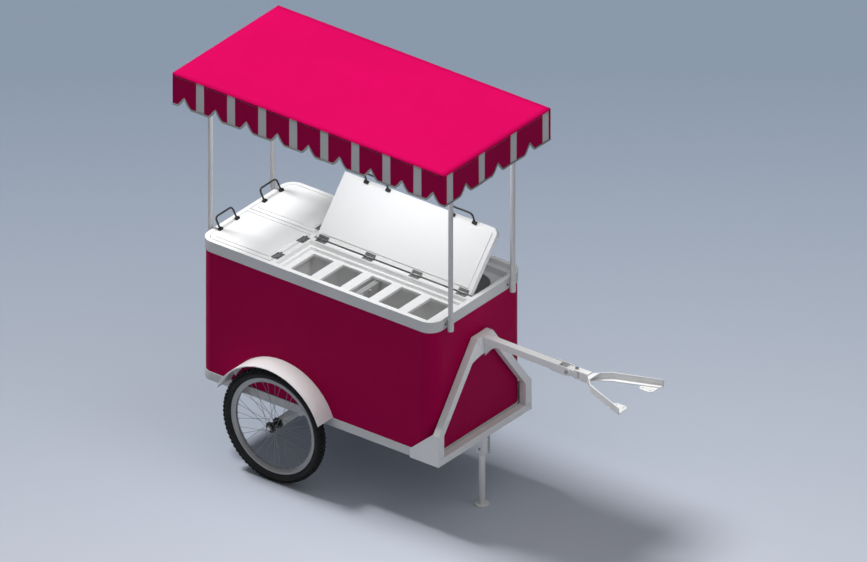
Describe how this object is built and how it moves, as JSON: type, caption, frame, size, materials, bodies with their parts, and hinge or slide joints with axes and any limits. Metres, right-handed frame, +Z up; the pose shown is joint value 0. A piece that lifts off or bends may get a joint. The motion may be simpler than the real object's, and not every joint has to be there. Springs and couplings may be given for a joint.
{
  "type": "mobile ice cream stall",
  "caption": "Bicycle-towed ice cream cart: insulated cabinet with lids and pan openings, striped canopy on poles, spoked wheels, prop stand and swivelling tow fork",
  "frame": {"origin": "on the ground, below the middle of the bounding box", "axes": "+X forward to the bicycle, +Y to the left, +Z up"},
  "size_m": [2.593, 0.972, 2.088],
  "materials": {
    "body_red": "satin",
    "counter_white": "gloss",
    "grey_metal": "satin",
    "steel_tube": "satin",
    "bright_steel": "satin",
    "rim_silver": "polished",
    "handle_dark": "satin",
    "tyre_black": "matte",
    "canopy_cloth": "matte",
    "foam": "matte"
  },
  "bodies": {
    "cart": {"base_tray": "grey_metal", "side_panels": "body_red", "end_panels": "body_red", "corner_posts": "body_red", "insulation": "foam", "counter_frame": "counter_white", "rim_band": "grey_metal", "pan_tray": "counter_white", "tub_tray": "counter_white", "liners": "grey_metal", "rear_bins": "grey_metal", "cold_plate": "grey_metal", "hinge_bases": "bright_steel", "hinge_pins": "bright_steel", "pole_sockets": "grey_metal", "socket_bolts": "bright_steel", "fender_right": "counter_white", "fender_left": "counter_white", "chassis_tubes": "steel_tube", "axle": "steel_tube", "axle_hangers": "steel_tube", "axle_nuts": "bright_steel", "wheel_bearings": "bright_steel", "front_beam": "steel_tube", "front_uprights": "steel_tube", "front_head": "steel_tube", "gusset_plates": "steel_tube", "drawbar": "steel_tube", "hitch_cheeks": "steel_tube", "pitch_pin": "bright_steel", "stand_bracket": "steel_tube", "stand_bolt": "bright_steel"},
    "wheel_right": {"tyre_right": "tyre_black", "rim_right": "rim_silver", "spokes_right": "bright_steel", "hub_right": "bright_steel"},
    "lid_right": {"rear_lid_right": "counter_white", "rear_lid_right_handle": "handle_dark", "rear_lid_right_leaves": "bright_steel"},
    "wheel_left": {"tyre_left": "tyre_black", "rim_left": "rim_silver", "spokes_left": "bright_steel", "hub_left": "bright_steel"},
    "lid_left": {"rear_lid_left": "counter_white", "rear_lid_left_handle": "handle_dark", "rear_lid_left_leaves": "bright_steel"},
    "lid_long": {"long_lid": "counter_white", "long_lid_handles": "handle_dark", "long_lid_leaves": "bright_steel"},
    "stand": {"stand_leg": "steel_tube", "stand_foot": "steel_tube"},
    "spring": {"stand_spring": "bright_steel"},
    "swivel": {"coupling": "steel_tube", "yaw_pin": "bright_steel"},
    "towing_fork": {"fork_stem": "steel_tube", "fork": "steel_tube", "fork_plates": "steel_tube"},
    "canopy": {"canopy_cover": "canopy_cloth", "canopy_frame": "grey_metal", "poles": "grey_metal"}
  },
  "joints": [
    {"name": "wheel_right_spin", "type": "hinge", "parent": "cart", "child": "wheel_right", "pos_m": [-0.6615, -0.426, 0.307], "axis": [0, 1, 0], "continuous": true},
    {"name": "rear_lid_right", "type": "hinge", "parent": "cart", "child": "lid_right", "pos_m": [-0.7515, -0.1785, 1.177], "axis": [0, 1, 0], "range_deg": [0, 88]},
    {"name": "wheel_left_spin", "type": "hinge", "parent": "cart", "child": "wheel_left", "pos_m": [-0.6615, 0.426, 0.307], "axis": [0, 1, 0], "continuous": true},
    {"name": "rear_lid_left", "type": "hinge", "parent": "cart", "child": "lid_left", "pos_m": [-0.7515, 0.1785, 1.177], "axis": [0, 1, 0], "range_deg": [0, 88]},
    {"name": "long_lid", "type": "hinge", "parent": "cart", "child": "lid_long", "pos_m": [-0.2345, -0.026, 1.177], "axis": [1, 0, 0], "range_deg": [-49, 46]},
    {"name": "leg_fold", "type": "hinge", "parent": "cart", "child": "stand", "pos_m": [0.3035, 0, 0.323], "axis": [0, 1, 0], "range_deg": [0, 88], "deforming": ["stand_spring"]},
    {"name": "spring_swing", "type": "hinge", "parent": "cart", "child": "spring", "pos_m": [0.3035, 0, 0.372], "axis": [0, 1, 0], "range_deg": [0, 44]},
    {"name": "hitch_pitch", "type": "hinge", "parent": "cart", "child": "swivel", "pos_m": [0.8475, 0, 0.948], "axis": [0, 1, 0], "range_deg": [-40, 40]},
    {"name": "hitch_yaw", "type": "hinge", "parent": "swivel", "child": "towing_fork", "pos_m": [0.8955, 0, 0.948], "axis": [0, 0, 1], "range_deg": [-60, 60]},
    {"name": "canopy_lift", "type": "slide", "parent": "cart", "child": "canopy", "axis": [0, 0, 1], "range_m": [0, 0.15]}
  ],
  "couplings": [
    {"joint": "spring_swing", "follows": "leg_fold", "ratio": 0.5}
  ]
}
